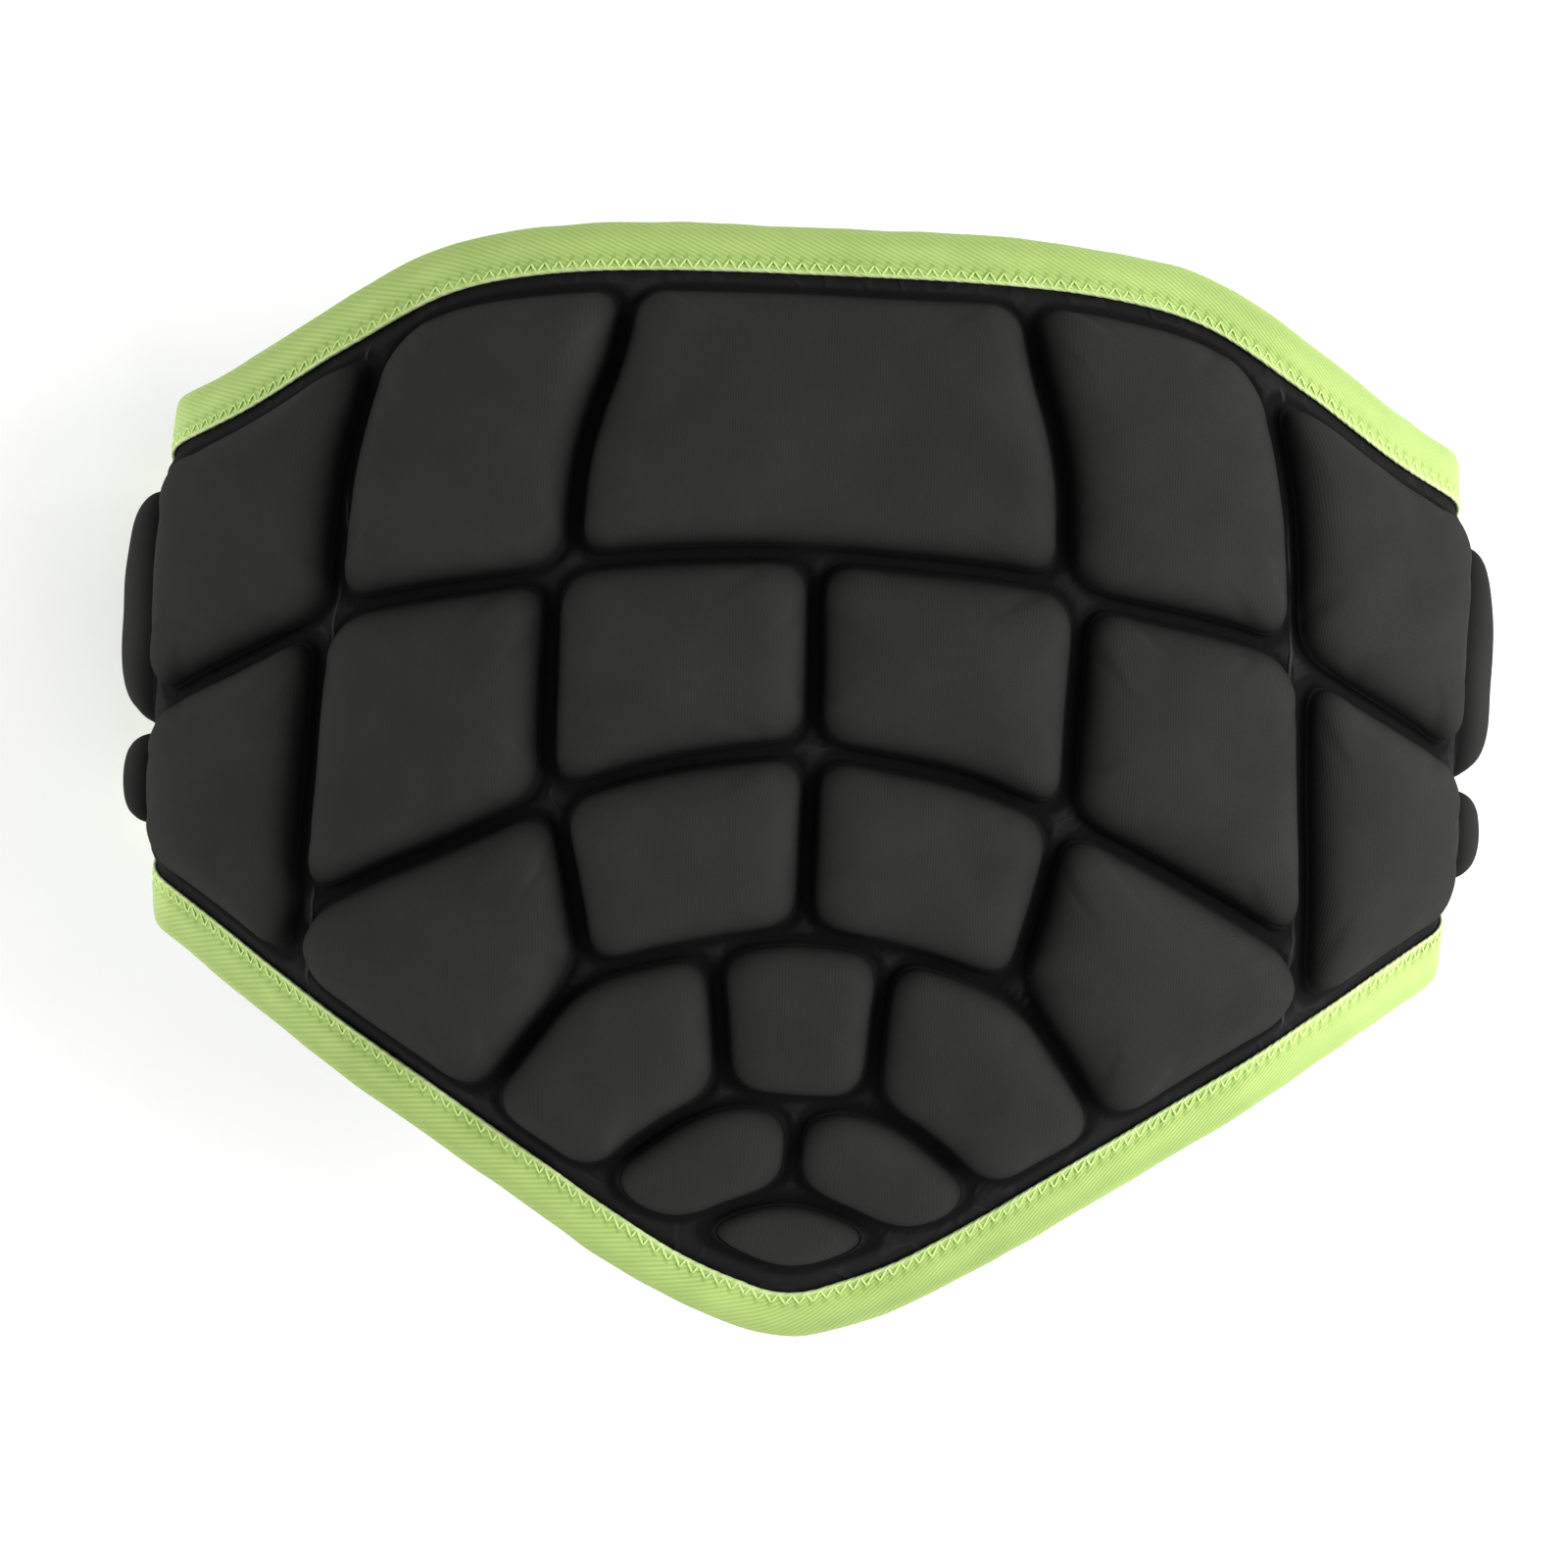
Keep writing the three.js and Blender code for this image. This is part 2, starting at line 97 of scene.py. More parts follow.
# Lines across the pad: share of the half girth, share of the length. The seat edge is a little
# rounder at the tip than the solids' edge.
WAIST_EDGE = [
    (0.0, 0.393), (0.2, 0.391), (0.33, 0.381), (0.42, 0.361),
    (0.53, 0.311), (0.65, 0.258), (0.77, 0.223), (1.0, 0.16),
]
SEAT_EDGE = [
    (0.0, -0.607), (0.045, -0.6005), (0.14, -0.566), (0.28, -0.49),
    (0.47, -0.386), (0.65, -0.295), (0.77, -0.246), (1.0, -0.168),
]
RINGS = {
    "first": [
        (0.0, 0.103), (0.11, 0.099), (0.22, 0.088), (0.31, 0.069), (0.45, 0.046),
        (0.5, 0.03), (0.57, 0.004), (0.665, -0.027), (0.78, -0.065), (1.0, -0.085),
    ],
    "second": [
        (0.0, -0.069), (0.067, -0.076), (0.156, -0.092), (0.24, -0.118),
        (0.35, -0.16), (0.45, -0.199), (0.51, -0.227),
    ],
    "third": [
        (0.0, -0.233), (0.11, -0.248), (0.19, -0.267), (0.232, -0.29),
        (0.268, -0.328), (0.308, -0.374),
    ],
    "fourth": [(0.0, -0.382), (0.067, -0.383), (0.11, -0.397), (0.16, -0.427), (0.185, -0.447)],
    "fifth": [(0.0, -0.469), (0.045, -0.477), (0.085, -0.493)],
}

# Channels along the pad: share of the length, share of the half girth
DIVIDERS = {
    "center": [(-0.5, 0.0), (0.1, 0.0)],
    "waistInner": [(0.107, 0.25), (0.172, 0.246), (0.221, 0.235), (0.267, 0.219), (0.313, 0.208)],
    "waistOuter": [(0.05, 0.496), (0.137, 0.491), (0.195, 0.482), (0.256, 0.467)],
    "hipInner": [(-0.11, 0.264), (0.061, 0.268)],
    "hipOuter": [(-0.237, 0.527), (-0.115, 0.517), (0.004, 0.509)],
    "seat": [(-0.275, 0.223), (-0.248, 0.224), (-0.198, 0.237), (-0.134, 0.254)],
    "lower": [(-0.366, 0.076), (-0.302, 0.081), (-0.256, 0.088)],
    "hinge": [(-0.25, 0.759), (0.25, 0.759)],
}

Cell = namedtuple("Cell", "name below above inner outer height")
CELLS = [
    Cell("waist_center", "waist", ["first"], None, "waistInner", 1.0),
    Cell("waist_inner", "waist", ["first"], "waistInner", "waistOuter", 1.0),
    Cell("waist_outer", "waist", ["first"], "waistOuter", "hinge", 1.0),
    Cell("waist_wing", "waist", ["first"], "hinge", "end", 1.0),
    Cell("hip_inner", "first", ["second"], "center", "hipInner", 1.0),
    Cell("hip_middle", "first", ["second"], "hipInner", "hipOuter", 1.0),
    Cell("hip_outer", "first", ["seat"], "hipOuter", "hinge", 1.0),
    Cell("hip_wing", "first", ["seat"], "hinge", "end", 0.9),
    Cell("seat_inner", "second", ["third"], "center", "seat", 1.0),
    Cell("seat_outer", "second", ["third", "seat"], "seat", "hipOuter", 1.0),
    Cell("lower_center", "third", ["fourth"], None, "lower", 0.85),
    Cell("lower_side", "third", ["fourth", "seat"], "lower", None, 0.85),
    Cell("tail", "fourth", ["fifth", "seat"], "center", None, 0.7),
    Cell("tip", "fifth", ["seat"], None, None, 0.5),
]


# Flat layout

def smooth_line(rows):
    """A smooth function through the rows, straight beyond them and level where it starts at 0."""
    xs = np.array([row[0] for row in rows], float)
    ys = np.array([row[1] for row in rows], float)
    slopes = np.diff(ys) / np.diff(xs)
    tangents = np.empty_like(ys)
    tangents[1:-1] = (ys[2:] - ys[:-2]) / (xs[2:] - xs[:-2])
    tangents[0] = 0 if xs[0] == 0 else slopes[0]
    tangents[-1] = slopes[-1]

    def line(x):
        x = np.asarray(x, float)
        i = np.clip(np.searchsorted(xs, x, side="right") - 1, 0, len(xs) - 2)
        width = xs[i + 1] - xs[i]
        t = (x - xs[i]) / width
        start = (1 + 2 * t) * (1 - t) ** 2 * ys[i] + t * (1 - t) ** 2 * width * tangents[i]
        end = t * t * (3 - 2 * t) * ys[i + 1] + t * t * (t - 1) * width * tangents[i + 1]
        inside = start + end
        before = ys[0] + tangents[0] * (x - xs[0])
        after = ys[-1] + tangents[-1] * (x - xs[-1])
        return np.where(x <= xs[0], before, np.where(x >= xs[-1], after, inside))

    return line


def line_across(rows):
    line = smooth_line(rows)
    return lambda u: line(np.abs(u) / HALF_GIRTH) * PAD_LENGTH


def line_along(rows):
    line = smooth_line(rows)
    return lambda v: line(np.asarray(v) / PAD_LENGTH) * HALF_GIRTH


waist_edge = line_across(WAIST_EDGE)
seat_edge = line_across(SEAT_EDGE)
rings = {name: line_across(rows) for name, rows in RINGS.items()}
dividers = {name: line_along(rows) for name, rows in DIVIDERS.items()}


def slant(line, at):
    """How much longer a slanted line's upright distance is than its true distance."""
    reach = 0.5
    return np.hypot(1, (line(at + reach) - line(at - reach)) / (2 * reach))


def beyond(line, at, value):
    """True distance that a point lies beyond a line."""
    return (value - line(at)) / slant(line, at)


def cross_section(u):
    """Place of the cross section at u, and the lean of the surface from level."""
    rest = np.abs(u)
    x = np.zeros_like(rest)
    z = np.zeros_like(rest)
    lean = np.zeros_like(rest)
    for i, (run, share) in enumerate(CROSS_SECTION):
        length = run * HALF_GIRTH
        last = i == len(CROSS_SECTION) - 1
        step = rest if last else np.minimum(rest, length)
        turn = share * math.pi / 2 * step / length
        chord = step * np.sinc(turn / 2 / math.pi)
        x = x + chord * np.cos(lean + turn / 2)
        z = z - chord * np.sin(lean + turn / 2)
        lean = lean + turn
        rest = rest - step
    return x, z, lean


def length_section(v):
    """Place along the pad at v, how far it drops there, and its tilt."""
    side = np.sign(v)
    start = np.where(v > 0, CURL_START_WAIST, -CURL_START_TIP) * PAD_LENGTH
    curl = np.where(v > 0, WAIST_CURL, TIP_CURL)
    tilt = np.maximum(0, np.abs(v) - start) / curl
    straight = np.minimum(np.abs(v), start)
    return side * (straight + curl * np.sin(tilt)), curl * (1 - np.cos(tilt)), side * tilt


def bend(u, v, h):
    """The layout's points bent to the pad's form, in millimetres from the web's own centre."""
    u, v, h = (np.asarray(a, float) for a in (u, v, h))
    x, z, lean = cross_section(u)
    y, drop, tilt = length_section(v)
    out = h * np.cos(tilt) - drop
    return np.stack([
        np.sign(u) * (x + out * np.sin(lean)),
        y + h * np.sin(tilt),
        z + out * np.cos(lean),
    ], axis=-1)


def frame_shift():
    """Offset from the web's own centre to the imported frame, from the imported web's box."""
    low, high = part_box("web")
    tip = bend(0.0, seat_edge(0.0), EDGE_THICKNESS)
    top = bend(0.0, 0.0, WEB_THICKNESS)
    return np.array([0.0, low.y / MM - tip[1], high.z / MM - top[2]])


SHIFT = frame_shift()


def place(u, v, h):
    """The layout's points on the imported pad, in metres."""
    return (bend(u, v, h) + SHIFT) * MM


def cell_clearances(cell, u, v):
    """Distances from the layout's points to the lines round a cell, positive inside."""
    away = np.abs(u)
    half = CHANNEL_WIDTH / 2
    border = TAPE_LEAF + CELL_MARGIN + (TIP_INSET if cell.name == "tip" else 0)
    widths = {name: HINGE_WIDTH / 2 if name == "hinge" else half for name in DIVIDERS}
    if cell.below == "waist":
        found = [-beyond(waist_edge, away, v) - border]
    else:
        found = [-beyond(rings[cell.below], away, v) - half]
    for name in cell.above:
        if name == "seat":
            found.append(beyond(seat_edge, away, v) - border)
        else:
            found.append(beyond(rings[name], away, v) - half)
    if cell.inner:
        found.append(beyond(dividers[cell.inner], v, away) - widths[cell.inner])
    if cell.outer == "end":
        found.append(HALF_GIRTH - away - border)
    elif cell.outer:
        found.append(-beyond(dividers[cell.outer], v, away) - widths[cell.outer])
    return found


def cell_depth(cell, u, v, inset=0.0):
    """Depth inside a cell's outline at that inset, up to its corner's radius, negative outside."""
    share = min(1.0, max(0.0, inset / SHOULDER_REACH))
    corner = CELL_CORNER - min(0.0, inset) + share * (RIM_CORNER - CELL_CORNER)
    shortfalls = [np.maximum(0, corner - gap + inset) for gap in cell_clearances(cell, u, v)]
    return corner - np.sqrt(sum(gap * gap for gap in shortfalls))


AREA_PITCH = 2.0
CORE_SHARE = 0.6
FARTHEST_RIM = 90.0
HALVINGS = 18


def cell_area(cell):
    """Points of a cell's area, only on the right where it has a twin, and their depths inside."""
    us = np.arange(0 if cell.inner else -HALF_GIRTH, HALF_GIRTH, AREA_PITCH)
    vs = np.arange(seat_edge(0.0), waist_edge(0.0), AREA_PITCH)
    u, v = np.meshgrid(us, vs)
    inside = cell_depth(cell, u, v) > 0
    return u[inside], v[inside], np.minimum.reduce(cell_clearances(cell, u[inside], v[inside]))


def cell_center(cell):
    """Middle of the deepest part of a cell."""
    u, v, depths = cell_area(cell)
    deep = depths > CORE_SHARE * depths.max()
    return u[deep].mean(), v[deep].mean()


def cell_reach(cell, center, angles, inset):
    """Reach from a cell's middle to where its outline is inset by that depth."""
    near = np.zeros_like(angles)
    far = np.full_like(angles, FARTHEST_RIM)
    for _ in range(HALVINGS):
        reach = (near + far) / 2
        u = center[0] + reach * np.cos(angles)
        v = center[1] + reach * np.sin(angles)
        inside = cell_depth(cell, u, v, inset) > 0
        if cell.inner:
            inside &= u > 0
        near = np.where(inside, reach, near)
        far = np.where(inside, far, reach)
    return near


# Shaping

def new_piece(name, bm, material):
    """A mesh object of the finished bmesh, at the origin, with its faces smooth and outward."""
    bmesh.ops.recalc_face_normals(bm, faces=bm.faces[:])
    for face in bm.faces:
        face.smooth = True
    mesh = bpy.data.meshes.new(name)
    bm.to_mesh(mesh)
    bm.free()
    mesh.materials.append(material)
    piece = bpy.data.objects.new(name, mesh)
    bpy.context.scene.collection.objects.link(piece)
    return piece


def subdivide(piece, levels=1):
    modifier = piece.modifiers.new("Smooth cloth", "SUBSURF")
    modifier.levels = levels
    modifier.render_levels = levels


def set_uvs(piece, name, uvs):
    """A UV map from one pair of layout coordinates for each vertex, in metres."""
    mesh = piece.data
    layer = mesh.uv_layers.new(name=name)
    corners = np.empty(len(mesh.loops), int)
    mesh.loops.foreach_get("vertex_index", corners)
    layer.data.foreach_set("uv", (np.asarray(uvs)[corners] * MM).astype(np.float32).ravel())


def set_attribute(piece, name, values):
    attribute = piece.data.attributes.new(name, "FLOAT", "POINT")
    attribute.data.foreach_set("value", np.asarray(values, np.float32))


def coords(bm):
    return np.array([vertex.co for vertex in bm.verts], float)


def move_all(bm, points):
    for vertex, point in zip(bm.verts, points):
        vertex.co = point


def grid_places(points, columns, rows):
    """Column and row of each point of a grid that runs from -1 to 1 both ways."""
    i = np.rint((points[:, 0] + 1) / 2 * columns).astype(int)
    j = np.rint((points[:, 1] + 1) / 2 * rows).astype(int)
    return i, j


def two_skins(columns, rows):
    """A closed sheet of two grids: its bmesh, each vertex's column and row, and which are outer."""
    bm = bmesh.new()
    bmesh.ops.create_grid(bm, x_segments=columns, y_segments=rows, size=1)
    made = bmesh.ops.extrude_face_region(bm, geom=bm.faces[:], use_keep_orig=True)["geom"]
    outer = {item for item in made if isinstance(item, bmesh.types.BMVert)}
    i, j = grid_places(coords(bm), columns, rows)
    return bm, i, j, np.array([vertex in outer for vertex in bm.verts])


def ease(share):
    """0 to 1, level at both ends."""
    return share * share * (3 - 2 * share)


# Foam cells

CELL_PITCH = 1.9
OUTLINE_SAMPLES = 720
CORNER_SAMPLES = 48
CORNER_WEIGHT = 2.5
FEWEST_FACES = 4
SHOULDER_DROP = 0.88
SHOULDER_POWER = 2.0
SHOULDER_RINGS = 10
SHOULDER_SHARE = 0.62
REACH_POWER = 0.8
START_CROWN = 0.3
CROWN_EASE = 1.5
WALL_DRAFT = 0.4
FOOT_RINGS = 3
FOOT_INSET = 0.1
FOOT_FLARE = 1.2
FOOT_RISE = 1.7
FOOT_SINK = 0.15
ROOT_DEPTH = 0.5
CELL_LAYERS = ("course", "weave_u", "weave_v", "lift")


def best_corners(points):
    """Places in a closed outline of the four corners that hold the largest area."""
    picks = np.linspace(0, len(points), CORNER_SAMPLES, endpoint=False).astype(int)
    sets = np.array(list(combinations(picks, 4)))
    a, b, c, d = (points[sets[:, k]] for k in range(4))
    first, second = c - a, d - b
    return sets[np.argmax(np.abs(first[:, 0] * second[:, 1] - first[:, 1] * second[:, 0]))]


class Outline:
    """The rounded outline of a cell, as directions from its middle."""

    def __init__(self, cell, rim):
        self.cell = cell
        self.center = np.array(cell_center(cell))
        self.angles = np.linspace(-math.pi, math.pi, OUTLINE_SAMPLES, endpoint=False)
        points = self.at(self.angles, rim)
        steps = np.roll(points, -1, axis=0) - points
        heading = np.arctan2(steps[:, 1], steps[:, 0])
        turn = np.roll(heading, -1) - heading
        self.lengths = np.hypot(steps[:, 0], steps[:, 1])
        self.weights = self.lengths + CORNER_WEIGHT * np.abs(np.arctan2(np.sin(turn), np.cos(turn)))
        self.corners = best_corners(points)

    def at(self, angles, inset):
        reach = cell_reach(self.cell, self.center, angles, inset)
        return self.center + np.stack([np.cos(angles), np.sin(angles)], axis=-1) * reach[:, None]

    def side(self, k):
        """Places of the samples from corner k to the next one."""
        start = self.corners[k]
        span = (self.corners[(k + 1) % 4] - start) % len(self.angles)
        return (start + np.arange(span + 1)) % len(self.angles)

    def length(self, k):
        return self.lengths[self.side(k)[:-1]].sum()

    def course(self, k, count):
        """count + 1 directions along side k, closer together round the corners."""
        order = self.side(k)
        run = np.concatenate([[0], np.cumsum(self.weights[order[:-1]])])
        turns = np.mod(np.diff(self.angles[order]), 2 * math.pi)
        unwrapped = self.angles[order[0]] + np.concatenate([[0], np.cumsum(turns)])
        return np.interp(np.linspace(0, run[-1], count + 1), run, unwrapped)


def cell_profile(top, drop, reach_in):
    """Inset and height of the rings from the crown's rim, over the shoulder and down to the foot."""
    rim = WALL_DRAFT + reach_in
    rows = []
    for k in range(1, SHOULDER_RINGS + 1):
        phase = k / SHOULDER_RINGS * math.pi / 2
        outward = math.sin(phase) ** (2 / SHOULDER_POWER)
        lower = 1 - math.cos(phase) ** (2 / SHOULDER_POWER)
        rows.append((rim - reach_in * outward, top - drop * lower))
    foot_top = WEB_THICKNESS + FOOT_RISE
    wall_foot = top - drop
    if wall_foot > foot_top:
        rows.append((WALL_DRAFT / 2, (wall_foot + foot_top) / 2))
    for k in range(FOOT_RINGS + 1):
        phase = k / FOOT_RINGS * math.pi / 2
        inset = FOOT_INSET - (FOOT_FLARE + FOOT_INSET) * (1 - math.cos(phase))
        rows.append((inset, foot_top - (FOOT_RISE + FOOT_SINK) * math.sin(phase)))
    rows.append((-FOOT_FLARE, WEB_THICKNESS - ROOT_DEPTH))
    return rows


def crown_grid(outline, rim, top):
    """The crown as a grid between the rim's four sides, each edge vertex with its direction."""
    across = max(FEWEST_FACES, round(max(outline.length(0), outline.length(2)) / CELL_PITCH))
    along = max(FEWEST_FACES, round(max(outline.length(1), outline.length(3)) / CELL_PITCH))
    courses = [outline.course(k, (across, along)[k % 2]) for k in range(4)]
    low, right, high, left = (outline.at(course, rim) for course in courses)
    high, left = high[::-1], left[::-1]

    bm = bmesh.new()
    bmesh.ops.create_grid(bm, x_segments=across, y_segments=along, size=1)
    i, j = grid_places(coords(bm), across, along)
    s, t = (i / across)[:, None], (j / along)[:, None]
    flat = (1 - t) * low[i] + t * high[i] + (1 - s) * left[j] + s * right[j]
    flat -= (1 - s) * (1 - t) * low[0] + s * (1 - t) * low[-1] + (1 - s) * t * high[0] + s * t * high[-1]
    swell = (16 * s * (1 - s) * t * (1 - t))[:, 0] ** CROWN_EASE
    layers = {name: bm.verts.layers.float.new(name) for name in CELL_LAYERS}
    for vertex, a, b, point, rise in zip(bm.verts, i, j, flat, swell):
        vertex.co = (*point, top + START_CROWN * rise)
        vertex[layers["weave_u"]], vertex[layers["weave_v"]] = point
        vertex[layers["lift"]] = 1.0
        if b == 0:
            vertex[layers["course"]] = courses[0][a]
        elif a == across:
            vertex[layers["course"]] = courses[1][b]
        elif b == along:
            vertex[layers["course"]] = courses[2][across - a]
        elif a == 0:
            vertex[layers["course"]] = courses[3][along - b]
    return bm


def add_walls(bm, outline, rim, top, profile):
    """Walls round the crown, ring by ring down the profile, and closed below."""
    layers = {name: bm.verts.layers.float[name] for name in CELL_LAYERS}
    edges = [edge for edge in bm.edges if edge.is_boundary]
    run = 0.0
    before = (rim, top)
    for inset, height in profile:
        made = bmesh.ops.extrude_edge_only(bm, edges=edges)["geom"]
        ring = [item for item in made if isinstance(item, bmesh.types.BMVert)]
        members = set(ring)
        edges = [item for item in made if isinstance(item, bmesh.types.BMEdge)
                 and item.verts[0] in members and item.verts[1] in members]
        run += math.hypot(before[0] - inset, before[1] - height)
        before = (inset, height)
        course = np.array([vertex[layers["course"]] for vertex in ring])
        lift = (height - WEB_THICKNESS) / (top - WEB_THICKNESS)
        weave = outline.at(course, rim) + run * np.stack([np.cos(course), np.sin(course)], axis=-1)
        for vertex, point, thread in zip(ring, outline.at(course, inset), weave):
            vertex.co = (*point, height)
            vertex[layers["weave_u"]], vertex[layers["weave_v"]] = thread
            vertex[layers["lift"]] = lift
    bmesh.ops.contextual_create(bm, geom=edges)


def flat_cell(cell):
    """A closed cell in the flat layout, with its weave coordinates and its lift off the web."""
    wall = cell.height * CELL_HEIGHT - CELL_CROWN
    top = CELL_BASE + wall
    room = cell_area(cell)[2].max()
    reach_in = min(SHOULDER_REACH * cell.height ** REACH_POWER, SHOULDER_SHARE * room)
    rim = WALL_DRAFT + reach_in
    outline = Outline(cell, rim)
    bm = crown_grid(outline, rim, top)
    add_walls(bm, outline, rim, top, cell_profile(top, SHOULDER_DROP * wall, reach_in))
    return bm


SIM_SCALE = 0.01
SIM_FRAMES = 20
SIM_QUALITY = 4
SIM_PRESSURE = 4.0
SIM_CAP = 1.9
COVER_STRETCH = 12
COVER_SHEAR = 4
COVER_BENDING = 0.6
SEWN_HEIGHT = CELL_BASE + 1.2
WANDER = 0.55
WANDER_STEP = 34
DIMPLE = 0.38
DIMPLE_STEP = 13
NOISE_GAIN = 1.6


def cloth_cover(flat, start):
    """The flat cell's cover as a cloth object under pressure, held where it is sewn at the foot."""
    scaled = flat.copy()
    move_all(scaled, start * SIM_SCALE)
    mesh = bpy.data.meshes.new("cover")
    scaled.to_mesh(mesh)
    scaled.free()
    cover = bpy.data.objects.new("cover", mesh)
    bpy.context.scene.collection.objects.link(cover)
    sewn = cover.vertex_groups.new(name="sewn")
    sewn.add([int(k) for k in np.flatnonzero(start[:, 2] < SEWN_HEIGHT)], 1.0, "REPLACE")
    settings = cover.modifiers.new("Cloth", "CLOTH").settings
    settings.vertex_group_mass = "sewn"
    settings.use_pressure = True
    settings.uniform_pressure_force = SIM_PRESSURE
    settings.effector_weights.gravity = 0
    settings.tension_stiffness = COVER_STRETCH
    settings.compression_stiffness = COVER_STRETCH
    settings.shear_stiffness = COVER_SHEAR
    settings.bending_stiffness = COVER_BENDING
    settings.quality = SIM_QUALITY
    return cover


def puffed(flat):
    """The flat cell's points in millimetres after its cover has been blown up."""
    start = coords(flat)
    cover = cloth_cover(flat, start)
    for number in range(1, SIM_FRAMES + 1):
        bpy.context.scene.frame_set(number)
    shown = cover.evaluated_get(bpy.context.evaluated_depsgraph_get()).data
    found = np.empty(len(start) * 3)
    shown.vertices.foreach_get("co", found)
    mesh = cover.data
    bpy.data.objects.remove(cover)
    bpy.data.meshes.remove(mesh)
    bpy.context.scene.frame_set(1)
    move = found.reshape(-1, 3) / SIM_SCALE - start
    size = np.linalg.norm(move, axis=1).max()
    return start + move * min(1.0, SIM_CAP / size)


def uneven(u, v, step, seed):
    """Slow unevenness, about -1 to 1, over the layout."""
    found = [noise.noise(Vector((a / step, b / step, seed))) for a, b in zip(u, v)]
    return np.array(found) * NOISE_GAIN


def cell_piece(flat, side, name, material):
    """A flat cell bent onto the pad on one side, as uneven as moulded foam."""
    bm = flat.copy()
    layers = [bm.verts.layers.float[key] for key in ("weave_u", "weave_v", "lift")]
    extras = np.array([[vertex[layer] for layer in layers] for vertex in bm.verts])
    points = coords(bm)
    u, v, h = side * points[:, 0], points[:, 1], points[:, 2]
    lift = np.clip(extras[:, 2], 0, 1)
    move_all(bm, place(
        u + WANDER * uneven(u, v, WANDER_STEP, 1.5),
        v + WANDER * uneven(u, v, WANDER_STEP, 7.5),
        h + DIMPLE * lift * uneven(u, v, DIMPLE_STEP, 4.2),
    ))
    for key in CELL_LAYERS:
        bm.verts.layers.float.remove(bm.verts.layers.float[key])
    piece = new_piece("foam_" + name, bm, material)
    set_uvs(piece, "weave", extras[:, :2] * (side, 1))
    # lift also masks the painted shade at the cell's foot
    set_attribute(piece, "lift", extras[:, 2])
    subdivide(piece)
    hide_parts(name)
    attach(piece, "root")


def add_cells(material):
    flats = [flat_cell(cell) for cell in CELLS]
    for flat in flats:
        move_all(flat, puffed(flat))
    for cell, flat in zip(CELLS, flats):
        if cell.inner:
            cell_piece(flat, -1, cell.name + "_left", material)
            cell_piece(flat, 1, cell.name + "_right", material)
        else:
            cell_piece(flat, 1, cell.name, material)
        flat.free()


# Web

WEB_PITCH = 1.6
EDGE_CLEAR = 1.2
EDGE_RISE = 2.5
CALM_CLEAR = 1.5
CALM_RISE = 3
RIDGE = 0.8
CHANNEL_CORE = 1.15
CHANNEL_SOFTNESS = 2.6
CREASE_CLEAR = 0.4
DENT_DEPTH = 0.35
DENT_RISE = 4
INNER_BARE = 0.8


def web_piece(material):
    """The web's two skins, with ridges where channels are wide and dents behind the cells."""
    columns = round(2 * HALF_GIRTH / WEB_PITCH)
    rows = round(PAD_LENGTH / WEB_PITCH)
    bm, i, j, outer = two_skins(columns, rows)
    u = (2 * i / columns - 1) * HALF_GIRTH
    v = seat_edge(u) + j / rows * (waist_edge(u) - seat_edge(u))
    away = np.abs(u)
    inward = np.minimum.reduce([
        -beyond(waist_edge, away, v),
        beyond(seat_edge, away, v),
        HALF_GIRTH - away,
    ])
    cover = np.maximum.reduce([cell_depth(cell, u, v) for cell in CELLS])
    ramp = np.clip((inward - TAPE_LEAF - EDGE_CLEAR) / EDGE_RISE, 0, 1)
    bare = ease(np.clip((-cover - CHANNEL_CORE) / CHANNEL_SOFTNESS, 0, 1))
    calm = np.clip((inward - TAPE_LEAF - CALM_CLEAR) / CALM_RISE, 0, 1)
    top = EDGE_THICKNESS + (WEB_THICKNESS - EDGE_THICKNESS) * ramp + RIDGE * bare * calm
    bottom = -DENT_DEPTH * ease(np.clip(cover / DENT_RISE, 0, 1)) * ramp
    crease = np.clip(-cover - CREASE_CLEAR, 0, 1) * calm
    move_all(bm, place(u, v, np.where(outer, top, bottom)))
    piece = new_piece("web_cloth", bm, material)
    set_uvs(piece, "weave", np.stack([u, v], axis=-1))
    # bare also masks the painted shade, dark in the channels and none on the inner skin
    set_attribute(piece, "bare", np.where(outer, bare, INNER_BARE))
    set_attribute(piece, "crease", np.where(outer, crease, 0.0))
    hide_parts("web")
    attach(piece, "root")


# Binding tape

TAPE_PITCH = 1.2
STITCH_PITCH = 3.4
EDGE_RUN = 0.95
LEAF_CLEAR = 1.0
LEAF_START = 0.6
OUTER_LEAF_ROWS = 12
INNER_LEAF_ROWS = 8
FOLD_ROWS = 8
FOLD_POWER = 0.7
SELVAGE_TUCK = 0.3
SEAM_DEPTH = 0.26
SEAM_PLACE = 1.5
SEAM_SPREAD = 1.3
SCALLOP_DEPTH = 0.16
SCALLOP_SPREAD = 0.7
PULL_DEPTH = 0.26
PULL_PLACE = 2.9
PULL_SPREAD = 0.8
FOLD_SWAY = 0.3
LEAF_WAVE = 0.2
ON_LEAF = 0.3

# The selvage's rounded edge: how far back from it, and how far below the leaf's face
SELVAGE_EDGE = [(0.12, 0.75), (0.0, 0.42), (0.1, 0.12), (0.4, 0.0)]


